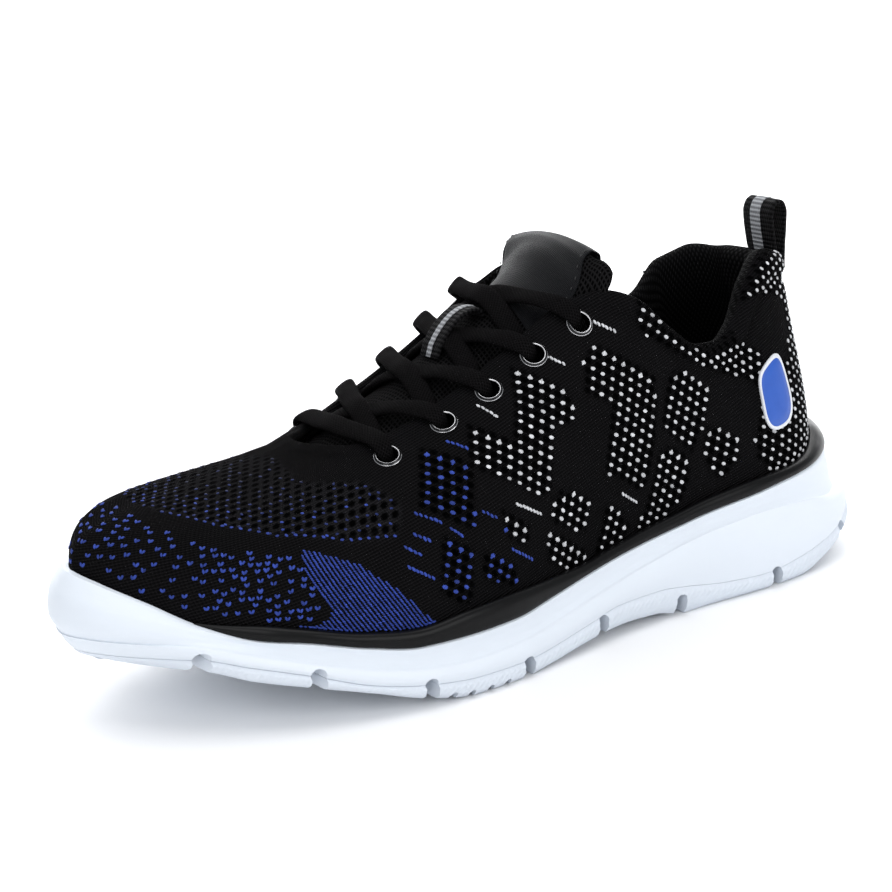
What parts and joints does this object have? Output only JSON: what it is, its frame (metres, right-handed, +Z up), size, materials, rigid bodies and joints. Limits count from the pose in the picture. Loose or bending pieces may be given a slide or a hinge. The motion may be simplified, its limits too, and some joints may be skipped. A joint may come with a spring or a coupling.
{
  "type": "safety_sneaker",
  "caption": "Low-cut knitted safety sneaker for the left foot, black upper with white and blue knit dots, laces, pull loop and thick white foam sole",
  "frame": {"origin": "on the floor, under the middle of the shoe's bounding box", "axes": "+X from heel to toe, +Y to the outer side of this left shoe, +Z up"},
  "size_m": [0.2948, 0.1084, 0.1216],
  "materials": {
    "white_foam": "satin moulded foam",
    "white_tread": "satin ribbed tread",
    "gloss_rim": "gloss",
    "black_knit": "fine knit with raised dots",
    "black_mesh": "padded mesh",
    "insole_cloth": "felted",
    "label_satin": "woven satin",
    "black_webbing": "ribbed webbing",
    "lace_cord": "braided",
    "badge_rubber": "matte raised",
    "eyelet_metal": "dark gunmetal"
  },
  "bodies": {
    "root": {"outsole": "white_tread", "midsole": "white_foam", "rim": "gloss_rim", "upper": "black_knit", "insole": "insole_cloth", "tongue": "black_mesh", "tongue_label": "label_satin", "lace_keeper": "black_webbing", "pull_loop": "black_webbing", "side_badge": "badge_rubber", "eyelet_lateral_1": "eyelet_metal", "eyelet_lateral_2": "eyelet_metal", "eyelet_lateral_3": "eyelet_metal", "eyelet_lateral_4": "eyelet_metal", "eyelet_lateral_5": "eyelet_metal", "eyelet_medial_1": "eyelet_metal", "eyelet_medial_2": "eyelet_metal", "eyelet_medial_3": "eyelet_metal", "eyelet_medial_4": "eyelet_metal", "eyelet_medial_5": "eyelet_metal", "lace_bar": "lace_cord", "lace_cross_1": "lace_cord", "lace_cross_2": "lace_cord", "lace_cross_3": "lace_cord", "lace_cross_4": "lace_cord"}
  },
  "joints": []
}
